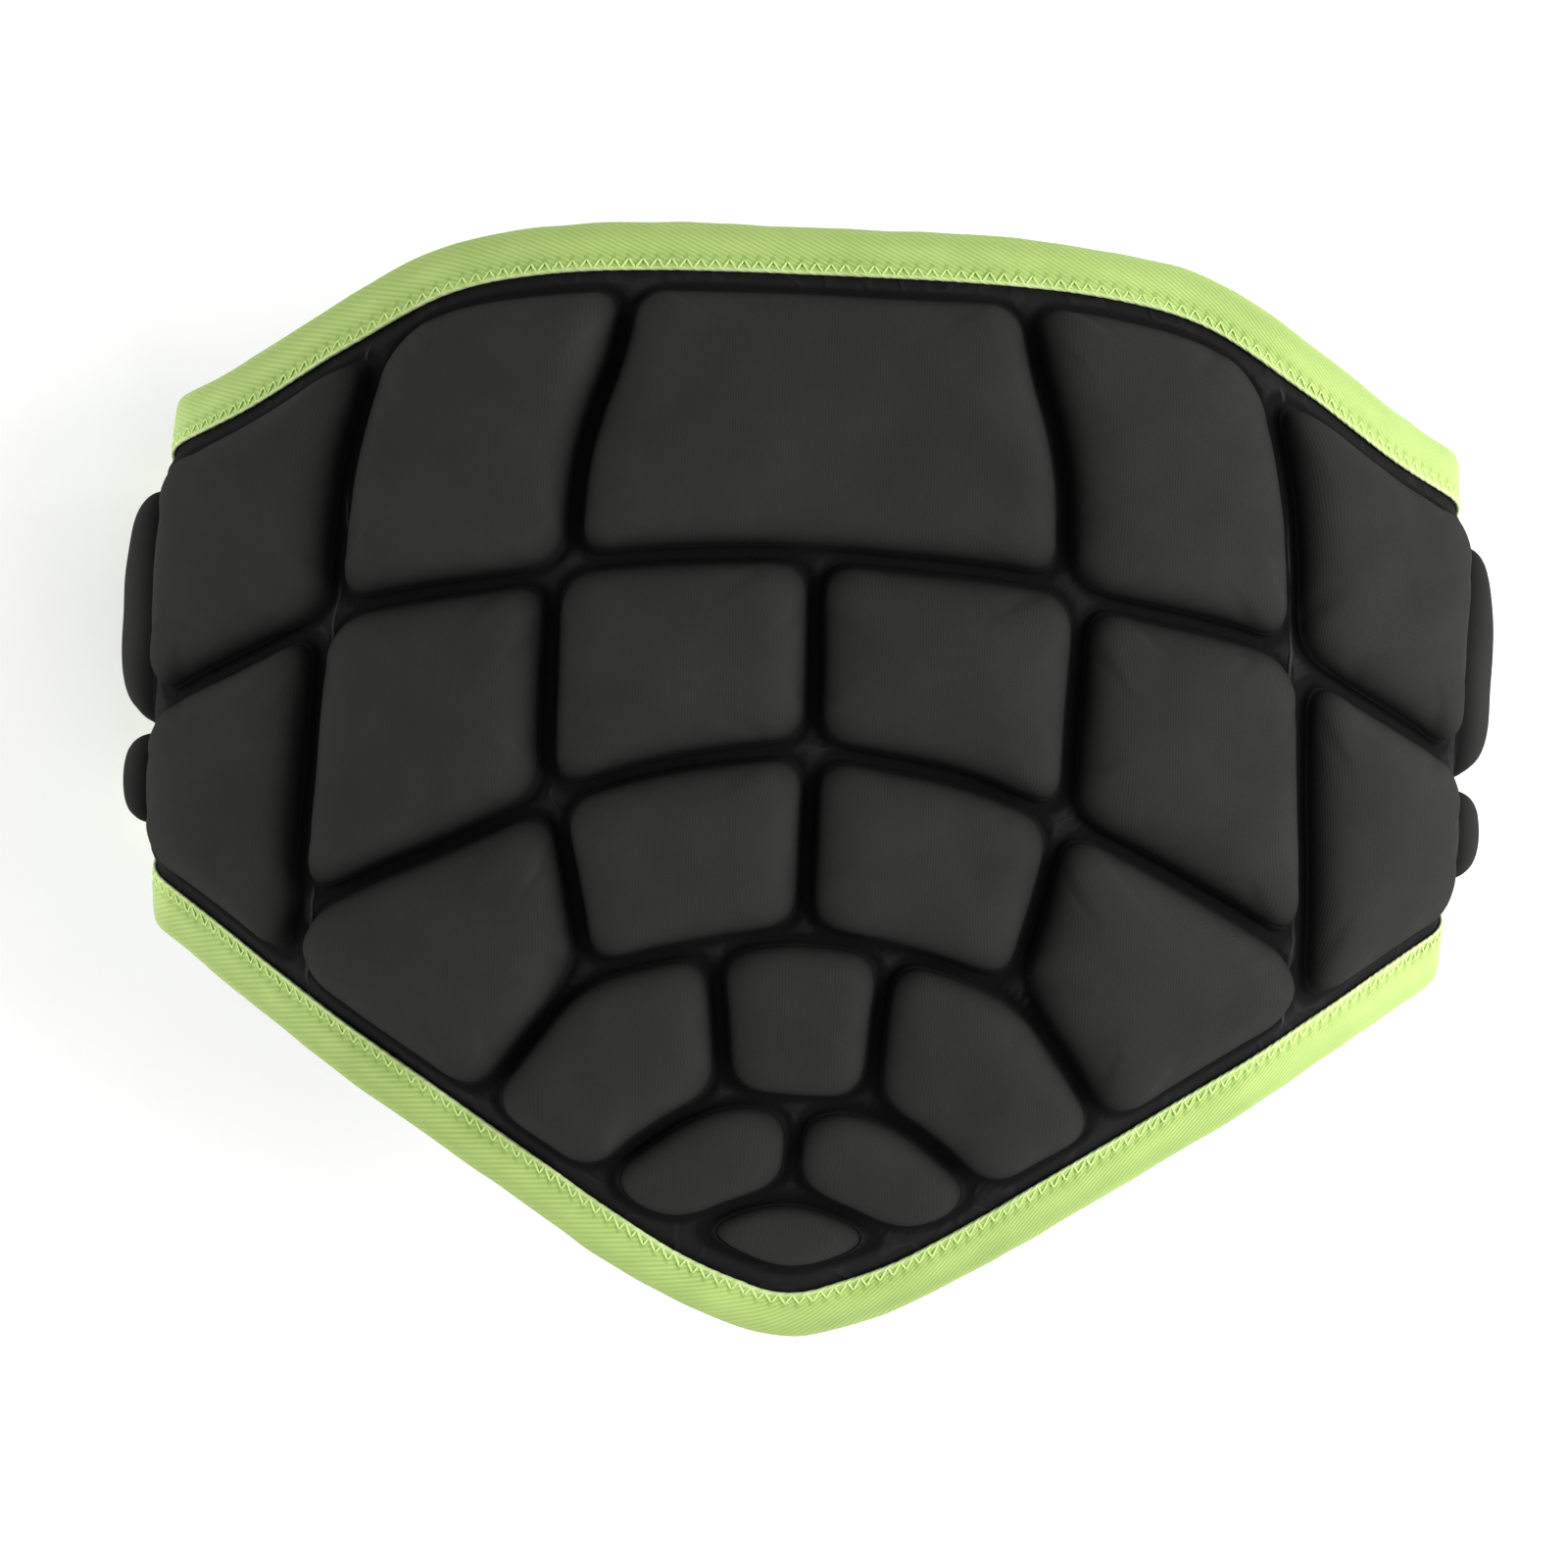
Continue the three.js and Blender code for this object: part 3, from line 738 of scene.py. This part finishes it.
def tape_section():
    """Into and height across the tape, from the outer leaf's selvage round the fold and back."""
    leaf_end = TAPE_LEAF - LEAF_CLEAR
    rows = [(TAPE_LEAF - back, TAPE_TOP - below) for back, below in SELVAGE_EDGE]
    rows += [(into, TAPE_TOP) for into in np.linspace(leaf_end, LEAF_START, OUTER_LEAF_ROWS)]
    middle = (TAPE_TOP + TAPE_BOTTOM) / 2
    half = (TAPE_TOP - TAPE_BOTTOM) / 2
    for k in range(1, FOLD_ROWS):
        phase = math.pi * k / FOLD_ROWS
        rows.append((-TAPE_FOLD * math.sin(phase) ** FOLD_POWER, middle + half * math.cos(phase)))
    rows += [(into, TAPE_BOTTOM) for into in np.linspace(LEAF_START, leaf_end, INNER_LEAF_ROWS)]
    rows += [(TAPE_LEAF - back, TAPE_BOTTOM + below) for back, below in reversed(SELVAGE_EDGE)]
    return np.array(rows, float)


def tape_lining(section):
    """Into and height of the tape's inner skin, which lies on the web."""
    lining = np.stack([
        np.maximum(section[:, 0], -SEAT),
        np.clip(section[:, 1], -SEAT, EDGE_THICKNESS + SEAT),
    ], axis=-1)
    lining[[0, 1, -2, -1], 0] = TAPE_LEAF - SELVAGE_TUCK
    return lining


def seam_sink(across):
    """How far the seam presses a leaf down, that far in from the leaf's edge."""
    return SEAM_DEPTH * np.exp(-((across - SEAM_PLACE) / SEAM_SPREAD) ** 2)


def stitch_pulls(along, from_selvage):
    """How far the stitches draw the selvage in, and how far they pull a leaf down."""
    arcs = np.abs(np.sin(math.pi * along / STITCH_PITCH))
    scallop = SCALLOP_DEPTH * arcs * np.exp(-(from_selvage / SCALLOP_SPREAD) ** 2)
    needle = 0.5 - 0.5 * np.cos(2 * math.pi * along / STITCH_PITCH)
    pull = PULL_DEPTH * needle * np.exp(-((from_selvage - EDGE_RUN - PULL_PLACE) / PULL_SPREAD) ** 2)
    return scallop, pull + seam_sink(from_selvage - EDGE_RUN)


def tape_waver(along, row):
    """Slow unevenness of the tape's fold, and of its leaves."""
    fold = np.array([noise.noise(Vector((a * 0.035, 9.1, 0.3))) + noise.noise(Vector((a * 0.1, 2.1, 0.3)))
                     for a in along])
    leaves = np.array([noise.noise(Vector((a * 0.09, b * 0.25, 3.7))) for a, b in zip(along, row)])
    return FOLD_SWAY * fold, LEAF_WAVE * leaves


def tape_piece(name, node, course, material):
    """A strip of tape. course gives u and v at stations along it, in from the web's edge."""
    outer = tape_section()
    inner = tape_lining(outer)
    runs = np.concatenate([[0], np.cumsum(np.hypot(*np.diff(outer, axis=0).T))])
    count, length = course["count"], course["length"]
    bm, i, j, is_outer = two_skins(count, len(outer) - 1)
    share = i / count
    along = share * length
    face = np.where(j < len(outer) / 2, 1.0, -1.0)
    from_selvage = np.minimum(runs[j], runs[-1] - runs[j])
    on_leaf = outer[j, 0] > ON_LEAF
    scallop, pull = stitch_pulls(along, from_selvage)
    sway, wave = tape_waver(along, j)
    into = outer[j, 0] + scallop + np.where(on_leaf, 0, sway)
    height = outer[j, 1] - face * on_leaf * (pull - wave)
    u, v = course["at"](share, np.where(is_outer, into, inner[j, 0]))
    move_all(bm, place(u, v, np.where(is_outer, height, inner[j, 1])))
    piece = new_piece(name, bm, material)
    set_uvs(piece, "tape", np.stack([along, from_selvage], axis=-1))
    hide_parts(node)
    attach(piece, "root")


def long_course(edge, direction):
    """Stations along the waist or seat edge, evenly spaced by true length."""
    reach = HALF_GIRTH + TAPE_FOLD
    us = np.linspace(-reach, reach, 1200)
    run = np.concatenate([[0], np.cumsum(np.hypot(np.diff(us), np.diff(edge(us))))])

    def at(share, into):
        u = np.interp(share * run[-1], run, us)
        return u, edge(u) - direction * into * slant(edge, u)

    return {"length": run[-1], "count": round(run[-1] / TAPE_PITCH), "at": at}


WING_LENGTH = 70.0


def wing_course(side):
    """Stations up a wing's end, between the tapes of the two long edges."""
    def at(share, into):
        u = HALF_GIRTH - into
        high = waist_edge(u) - TAPE_LEAF * slant(waist_edge, u) - SEAT
        low = seat_edge(u) + TAPE_LEAF * slant(seat_edge, u) + SEAT
        return side * u, low + share * (high - low)

    return {"length": WING_LENGTH, "count": round(WING_LENGTH / TAPE_PITCH), "at": at}


THREAD_RADIUS = 0.24
THREAD_SIDES = 6
THREAD_BED = 0.1
THREAD_DIP = 0.2
THREAD_ARCH = 0.38
ARCH_POWER = 0.6
ZIG_STEPS = 6
ZIG_NEAR = 0.35
ZIG_FAR = 2.75


def thread_points(course, face):
    """The zigzag seam's path: u, v and height at each of its steps."""
    zigs = 2 * round(course["length"] / STITCH_PITCH)
    steps = np.arange(zigs * ZIG_STEPS + 1)
    share = steps / steps[-1]
    phase = steps / ZIG_STEPS
    part = phase - np.floor(phase)
    odd = np.floor(phase) % 2
    swing = np.where(odd == 0, part, 1 - part)
    across = ZIG_NEAR + (ZIG_FAR - ZIG_NEAR) * swing
    u, v = course["at"](share, TAPE_LEAF - across)
    arch = np.sin(math.pi * part) ** ARCH_POWER
    surface = TAPE_TOP - THREAD_BED if face > 0 else TAPE_BOTTOM + THREAD_BED
    return u, v, surface + face * (-THREAD_DIP + THREAD_ARCH * arch - seam_sink(across))


def thread_piece(name, course, material):
    """The seam's two threads, one on each leaf of the tape."""
    bm = bmesh.new()
    for face in (1, -1):
        u, v, h = thread_points(course, face)
        heading = np.stack([np.gradient(u), np.gradient(v)], axis=-1)
        heading /= np.linalg.norm(heading, axis=1)[:, None]
        count = len(u) - 1
        made = bmesh.ops.create_grid(bm, x_segments=count, y_segments=THREAD_SIDES, size=1)["verts"]
        grid = np.array([vertex.co for vertex in made])
        i = grid_places(grid, count, THREAD_SIDES)[0]
        turn = (grid[:, 1] + 1) * math.pi
        aside = THREAD_RADIUS * np.cos(turn)
        points = place(u[i] - heading[i, 1] * aside, v[i] + heading[i, 0] * aside,
                       h[i] + THREAD_RADIUS * np.sin(turn))
        for vertex, point in zip(made, points):
            vertex.co = point
    bmesh.ops.remove_doubles(bm, verts=bm.verts[:], dist=0.00001)
    bmesh.ops.holes_fill(bm, edges=[edge for edge in bm.edges if edge.is_boundary], sides=0)
    piece = new_piece(name, bm, material)
    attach(piece, "root")


# Materials

class Value:
    """A shader socket that Python's operators join through Math nodes."""

    def __init__(self, finish, socket):
        self.finish = finish
        self.socket = socket

    def math(self, operation, *others):
        node = self.finish.node("ShaderNodeMath", {"operation": operation}, self, *others)
        return Value(self.finish, node.outputs[0])

    def __add__(self, other):
        return self.math("ADD", other)

    def __radd__(self, other):
        return self.math("ADD", other)

    def __sub__(self, other):
        return self.math("SUBTRACT", other)

    def __rsub__(self, other):
        return (self * -1).math("ADD", other)

    def __mul__(self, other):
        return self.math("MULTIPLY", other)

    def __rmul__(self, other):
        return self.math("MULTIPLY", other)

    def __truediv__(self, other):
        return self.math("DIVIDE", other)

    def __pow__(self, other):
        return self.math("POWER", other)

    def wave(self, period):
        """0 to 1 and back over each period."""
        return (self * (2 * math.pi / period)).math("SINE") * 0.5 + 0.5

    def ramp(self, low, high):
        """0 at low to 1 at high, eased."""
        settings = {"interpolation_type": "SMOOTHSTEP"}
        node = self.finish.node("ShaderNodeMapRange", settings, self, low, high, 0.0, 1.0)
        return Value(self.finish, node.outputs[0])


class Finish:
    """A material of one Principled shader, with its values set or joined by name."""

    def __init__(self, name, **values):
        self.material = bpy.data.materials.new(name)
        self.material.use_nodes = True
        self.tree = self.material.node_tree
        self.shader = self.tree.nodes["Principled BSDF"]
        for key, value in values.items():
            self.shader.inputs[key.replace("_", " ").title()].default_value = value

    def node(self, kind, settings=None, *values, **named):
        node = self.tree.nodes.new(kind)
        for key, value in (settings or {}).items():
            setattr(node, key, value)
        pairs = list(zip(node.inputs, values))
        pairs += [(node.inputs[key.replace("_", " ")], value) for key, value in named.items()]
        for socket, value in pairs:
            self.join(socket, value)
        return node

    def join(self, socket, value):
        if isinstance(value, Value):
            self.tree.links.new(value.socket, socket)
        else:
            socket.default_value = value

    def uv(self, name):
        """The two millimetre coordinates of the piece's own map."""
        node = self.node("ShaderNodeUVMap", {"uv_map": name})
        parts = self.node("ShaderNodeSeparateXYZ", {}, Value(self, node.outputs[0]))
        return Value(self, parts.outputs[0]) * 1000, Value(self, parts.outputs[1]) * 1000

    def place(self):
        node = self.node("ShaderNodeTexCoord")
        return Value(self, node.outputs["Object"])

    def attribute(self, name):
        node = self.node("ShaderNodeAttribute", {"attribute_name": name})
        return Value(self, node.outputs["Fac"])

    def noise(self, vector, scale, detail=2.0, roughness=0.5):
        node = self.node("ShaderNodeTexNoise", {}, Vector=vector, Scale=scale, Detail=detail,
                         Roughness=roughness)
        return Value(self, node.outputs["Fac"])

    def blend(self, share, low, high):
        """A colour between two."""
        node = self.node("ShaderNodeMix", {"data_type": "RGBA"})
        self.join(node.inputs["Factor"], share)
        for socket, value in zip([s for s in node.inputs if s.type == "RGBA"], (low, high)):
            self.join(socket, value if isinstance(value, Value) else (*value, 1.0))
        return Value(self, next(s for s in node.outputs if s.type == "RGBA"))

    def finish(self, color, height, distance, roughness=None, strength=1.0):
        self.join(self.shader.inputs["Base Color"], color)
        if roughness is not None:
            self.join(self.shader.inputs["Roughness"], roughness)
        bump = self.node("ShaderNodeBump", {}, Height=height, Distance=distance, Strength=strength)
        self.join(self.shader.inputs["Normal"], Value(self, bump.outputs[0]))
        return self.material


# Shader colours of the knit on the cells and on the web, and the painted shade that darkens the cells'
# feet and the web's channels
CELL_DARK = (0.0158, 0.0165, 0.0155)
CELL_LIGHT = (0.0245, 0.0253, 0.0234)
# The web's knit is the cells' knit painted darker, as painted shade for the web lying low between the
# cells
WEB_DARK = (0.008, 0.0084, 0.008)
WEB_LIGHT = (0.012, 0.0125, 0.012)
PAINTED_SHADE = (0.0052, 0.0055, 0.0052)
WEB_CREASES = 0.5

# Width of a knit column, height of a stitch, and scales of the knit's noise
WALE = 0.62
COURSE = 0.5
CLOUD_SCALE = 45.0
FUZZ_SCALE = 2600.0
RIDGE_SCALE = 75.0
WANDER_SCALE = 28.0

# The web's stretch crease along the outer channels on both sides, a little askew, with a painted
# highlight on it and on the knit's small folds
CREST_AWAY = 114.2
CREST_SLANT = 0.052
CREST_WANDER = 8
CREST_HIGHLIGHT_SHARE = 0.65
CREST_HIGHLIGHT_GAIN = 3.4


def knit_height(x, y):
    """Columns of small V stitches, 0 in the grooves to 1 on the loops."""
    column = (x / WALE).math("FRACT") - 0.5
    side = column.math("ABSOLUTE")
    loops = (y / COURSE + side * 1.2).math("FRACT") - 0.5
    rib = 1 - (side * 2) ** 2.0
    loop = 1 - (loops.math("ABSOLUTE") * 2) ** 2.0
    return rib * 0.65 + loop * 0.35


def black_knit(name, dark, light, mask, high, creases=0.0):
    """Fine black knit, with painted shade where the mask is low, and creased where it is high, with
    painted highlights on the creases.
    """
    finish = Finish(name, roughness=0.95)
    finish.shader.inputs["Specular IOR Level"].default_value = 0.03
    x, y = finish.uv("weave")
    spot = finish.place()
    stitch = knit_height(x, y)
    cloud = finish.noise(spot, CLOUD_SCALE, 3.0)
    fuzz = finish.noise(spot, FUZZ_SCALE, 2.0)
    tone = (stitch * 0.35 + cloud * 0.8 + fuzz * 0.3 - 0.24).ramp(0.1, 0.9)
    share = finish.attribute(mask).ramp(0.0, high)
    # The mask's low end blends in painted shade: at the cells' feet (lift) and in the web's channels
    # (bare)
    color = finish.blend(share, PAINTED_SHADE, finish.blend(tone, dark, light))
    height = stitch * 0.05 + fuzz * 0.025
    if creases:
        folds = (finish.noise(spot, RIDGE_SCALE, 2.0) - 0.5).math("ABSOLUTE")
        wander = (finish.noise(spot, WANDER_SCALE, 3.0) - 0.5) * CREST_WANDER
        line = (x.math("ABSOLUTE") + y * CREST_SLANT - CREST_AWAY + wander).math("ABSOLUTE")
        stretched = (1 - line.ramp(0.1, 0.7)) * finish.attribute("crease") * cloud.ramp(0.3, 0.55)
        ridges = (1 - folds.ramp(0.0, 0.06)) * share
        crest = (ridges * 0.15).math("MAXIMUM", stretched)
        # Painted highlight on the crease and the small folds
        color = finish.blend(crest * CREST_HIGHLIGHT_SHARE, color, [CREST_HIGHLIGHT_GAIN * value for value in light])
        height = height + (ridges * 0.7).math("MAXIMUM", stretched) * creases
    return finish.finish(color, height, MM, 0.84 + cloud * 0.12)


TAPE_DARK = (0.255, 0.37, 0.086)
TAPE_LIGHT = (0.375, 0.505, 0.15)
TAPE_SHADE = (0.235, 0.325, 0.09)
SELVAGE = (0.54, 0.65, 0.33)
NEEDLE_HOLE_AND_PUCKER_SHADE = (0.15, 0.27, 0.035)
THREAD_DARK = (0.44, 0.63, 0.16)
THREAD_LIGHT = (0.54, 0.72, 0.25)

# Places across the tape, from the selvage
SELVAGE_END = 1.5
HOLE_PLACE = 2.75
HOLE_RADIUS = 0.6
PUCKER_AT = 3.7
PUCKER_HALF = 0.75
SHADE_START = 6.5
SHADE_END = 10.5
TWILL_PERIOD = 0.95
WEFT_PERIOD = 0.34


def lime_tape():
    """Twill weave, pale at the selvage, dark in the needle holes, with painted shade in the puckers
    beside them and towards the fold.
    """
    finish = Finish("Lime twill tape", roughness=0.75, sheen_weight=0.2, sheen_roughness=0.5)
    finish.shader.inputs["Specular IOR Level"].default_value = 0.3
    along, across = finish.uv("tape")
    spot = finish.place()
    twill = (along * 0.45 + across * 0.9).wave(TWILL_PERIOD)
    weft = (across - along * 0.2).wave(WEFT_PERIOD)
    cloud = finish.noise(spot, 90.0, 3.0)
    fuzz = finish.noise(spot, 2200.0, 2.0)
    tone = (twill * 0.45 + weft * 0.12 + cloud * 0.7 + fuzz * 0.2 - 0.22).ramp(0.1, 0.95)
    color = finish.blend(tone, TAPE_DARK, TAPE_LIGHT)
    # Painted shade on each leaf towards the fold
    color = finish.blend(across.ramp(SHADE_START, SHADE_END) * 0.5, color, TAPE_SHADE)
    selvage = 1 - across.ramp(1.15, SELVAGE_END)
    nubs = along.wave(STITCH_PITCH) * 0.35 + cloud * 0.8
    color = finish.blend(selvage * nubs, color, SELVAGE)
    step = ((along / STITCH_PITCH).math("FRACT") - 0.5) * STITCH_PITCH
    away = ((step ** 2.0) + ((across - HOLE_PLACE) ** 2.0)) ** 0.5
    hole = 1 - away.ramp(0.15, HOLE_RADIUS)
    color = finish.blend(hole * 0.85, color, NEEDLE_HOLE_AND_PUCKER_SHADE)
    pucker = 1 - (((step / PUCKER_HALF) ** 2.0) + ((across - PUCKER_AT) ** 2.0)).ramp(0.3, 1.2)
    # Painted shade in the puckers, in the needle holes' colour
    color = finish.blend(pucker * 0.45, color, NEEDLE_HOLE_AND_PUCKER_SHADE)
    height = twill * 0.6 + weft * 0.25 + fuzz * 0.25 - hole * 1.2
    return finish.finish(color, height, 0.12 * MM, 0.7 + cloud * 0.15)


def lime_thread():
    finish = Finish("Lime thread", roughness=0.55, sheen_weight=0.15)
    spot = finish.place()
    fibre = finish.noise(spot, 3000.0, 2.0)
    color = finish.blend(fibre, THREAD_DARK, THREAD_LIGHT)
    return finish.finish(color, fibre, 0.05 * MM)


FLOOR_SIZE = 4.0
FLOOR_GLOW = 0.16
FLOOR_DARK = (0.92, 0.92, 0.92)
FLOOR_LIGHT = (0.94, 0.94, 0.94)


def pale_floor():
    """Matt floor that glows a little, which keeps the shadow on it pale."""
    finish = Finish("Pale floor", roughness=0.9, emission_strength=FLOOR_GLOW)
    finish.shader.inputs["Emission Color"].default_value = (1, 1, 1, 1)
    spot = finish.place()
    grain = finish.noise(spot, 30.0, 2.0)
    color = finish.blend(grain, FLOOR_DARK, FLOOR_LIGHT)
    return finish.finish(color, grain, 0.02 * MM)


# Stage, light and camera

CAMERA_SPOT = Vector((-0.023, 0.0005, 1.226))
CAMERA_AIM = Vector((-0.0060, 0.0002, 0.1263))
CAMERA_ROLL = math.radians(2.47)
SENSOR_WIDTH = 36
FRAME_WIDTH = 0.36
WORLD_AROUND = 1.5
WORLD_OVERHEAD = 0.0
WORLD_FADE = (0.35, 0.95)

# Name, place, size and watts
LIGHT_AIM = Vector((0, 0, 0.08))
LIGHTS = [
    ("Key", Vector((1.35, 0.1, 0.9)), 1.0, 37),
    ("Front", Vector((0.2, -1.2, 0.9)), 0.8, 5),
    ("Side", Vector((-1.5, 0, 0.45)), 0.8, 12),
]


def set_camera():
    """A long lens straight above the pad, turned as far as the photographed pad leans."""
    data = bpy.data.cameras.new("Camera")
    camera = bpy.data.objects.new("Camera", data)
    bpy.context.scene.collection.objects.link(camera)
    forward = (CAMERA_AIM - CAMERA_SPOT).normalized()
    up = Vector((-math.sin(CAMERA_ROLL), math.cos(CAMERA_ROLL), 0))
    right = forward.cross(up).normalized()
    up = right.cross(forward)
    turn = Matrix((right, up, -forward)).transposed().to_4x4()
    camera.matrix_world = Matrix.Translation(CAMERA_SPOT) @ turn
    data.sensor_fit = "HORIZONTAL"
    data.sensor_width = SENSOR_WIDTH
    data.lens = SENSOR_WIDTH * (CAMERA_AIM - CAMERA_SPOT).length / FRAME_WIDTH
    data.clip_start = 0.05
    data.clip_end = 20
    bpy.context.scene.camera = camera


def area_light(name, spot, size, watts):
    data = bpy.data.lights.new(name, "AREA")
    data.shape = "SQUARE"
    data.size = size
    data.energy = watts
    lamp = bpy.data.objects.new(name, data)
    lamp.location = spot
    lamp.rotation_euler = (LIGHT_AIM - spot).to_track_quat("-Z", "Y").to_euler()
    bpy.context.scene.collection.objects.link(lamp)


def studio_world():
    """White all round and black straight overhead, so that the channels stay dark."""
    world = bpy.data.worlds.new("Studio")
    world.use_nodes = True
    tree = world.node_tree
    background = tree.nodes["Background"]
    spot = tree.nodes.new("ShaderNodeTexCoord")
    parts = tree.nodes.new("ShaderNodeSeparateXYZ")
    ramp = tree.nodes.new("ShaderNodeMapRange")
    ramp.interpolation_type = "SMOOTHSTEP"
    for socket, value in zip(ramp.inputs[1:5], (*WORLD_FADE, WORLD_AROUND, WORLD_OVERHEAD)):
        socket.default_value = value
    tree.links.new(spot.outputs["Generated"], parts.inputs[0])
    tree.links.new(parts.outputs["Z"], ramp.inputs[0])
    tree.links.new(ramp.outputs[0], background.inputs["Strength"])
    background.inputs["Color"].default_value = (1, 1, 1, 1)
    return world


def set_stage():
    bm = bmesh.new()
    bmesh.ops.create_grid(bm, x_segments=2, y_segments=2, size=FLOOR_SIZE)
    floor = new_piece("floor", bm, pale_floor())
    bpy.context.scene.world = studio_world()
    bpy.context.scene.view_settings.view_transform = "Standard"
    for light in LIGHTS:
        area_light(*light)


def build():
    cell_cloth = black_knit("Black knit over foam", CELL_DARK, CELL_LIGHT, "lift", 0.95)
    web_cloth = black_knit("Black knit web", WEB_DARK, WEB_LIGHT, "bare", 0.8, WEB_CREASES)
    tape = lime_tape()
    thread = lime_thread()
    add_cells(cell_cloth)
    web_piece(web_cloth)
    strips = {
        "waist": long_course(waist_edge, 1),
        "seat": long_course(seat_edge, -1),
        "wing_left": wing_course(-1),
        "wing_right": wing_course(1),
    }
    for name, course in strips.items():
        tape_piece("tape_" + name, "binding_" + name, course, tape)
        thread_piece("thread_" + name, course, thread)


build()
set_stage()
set_camera()
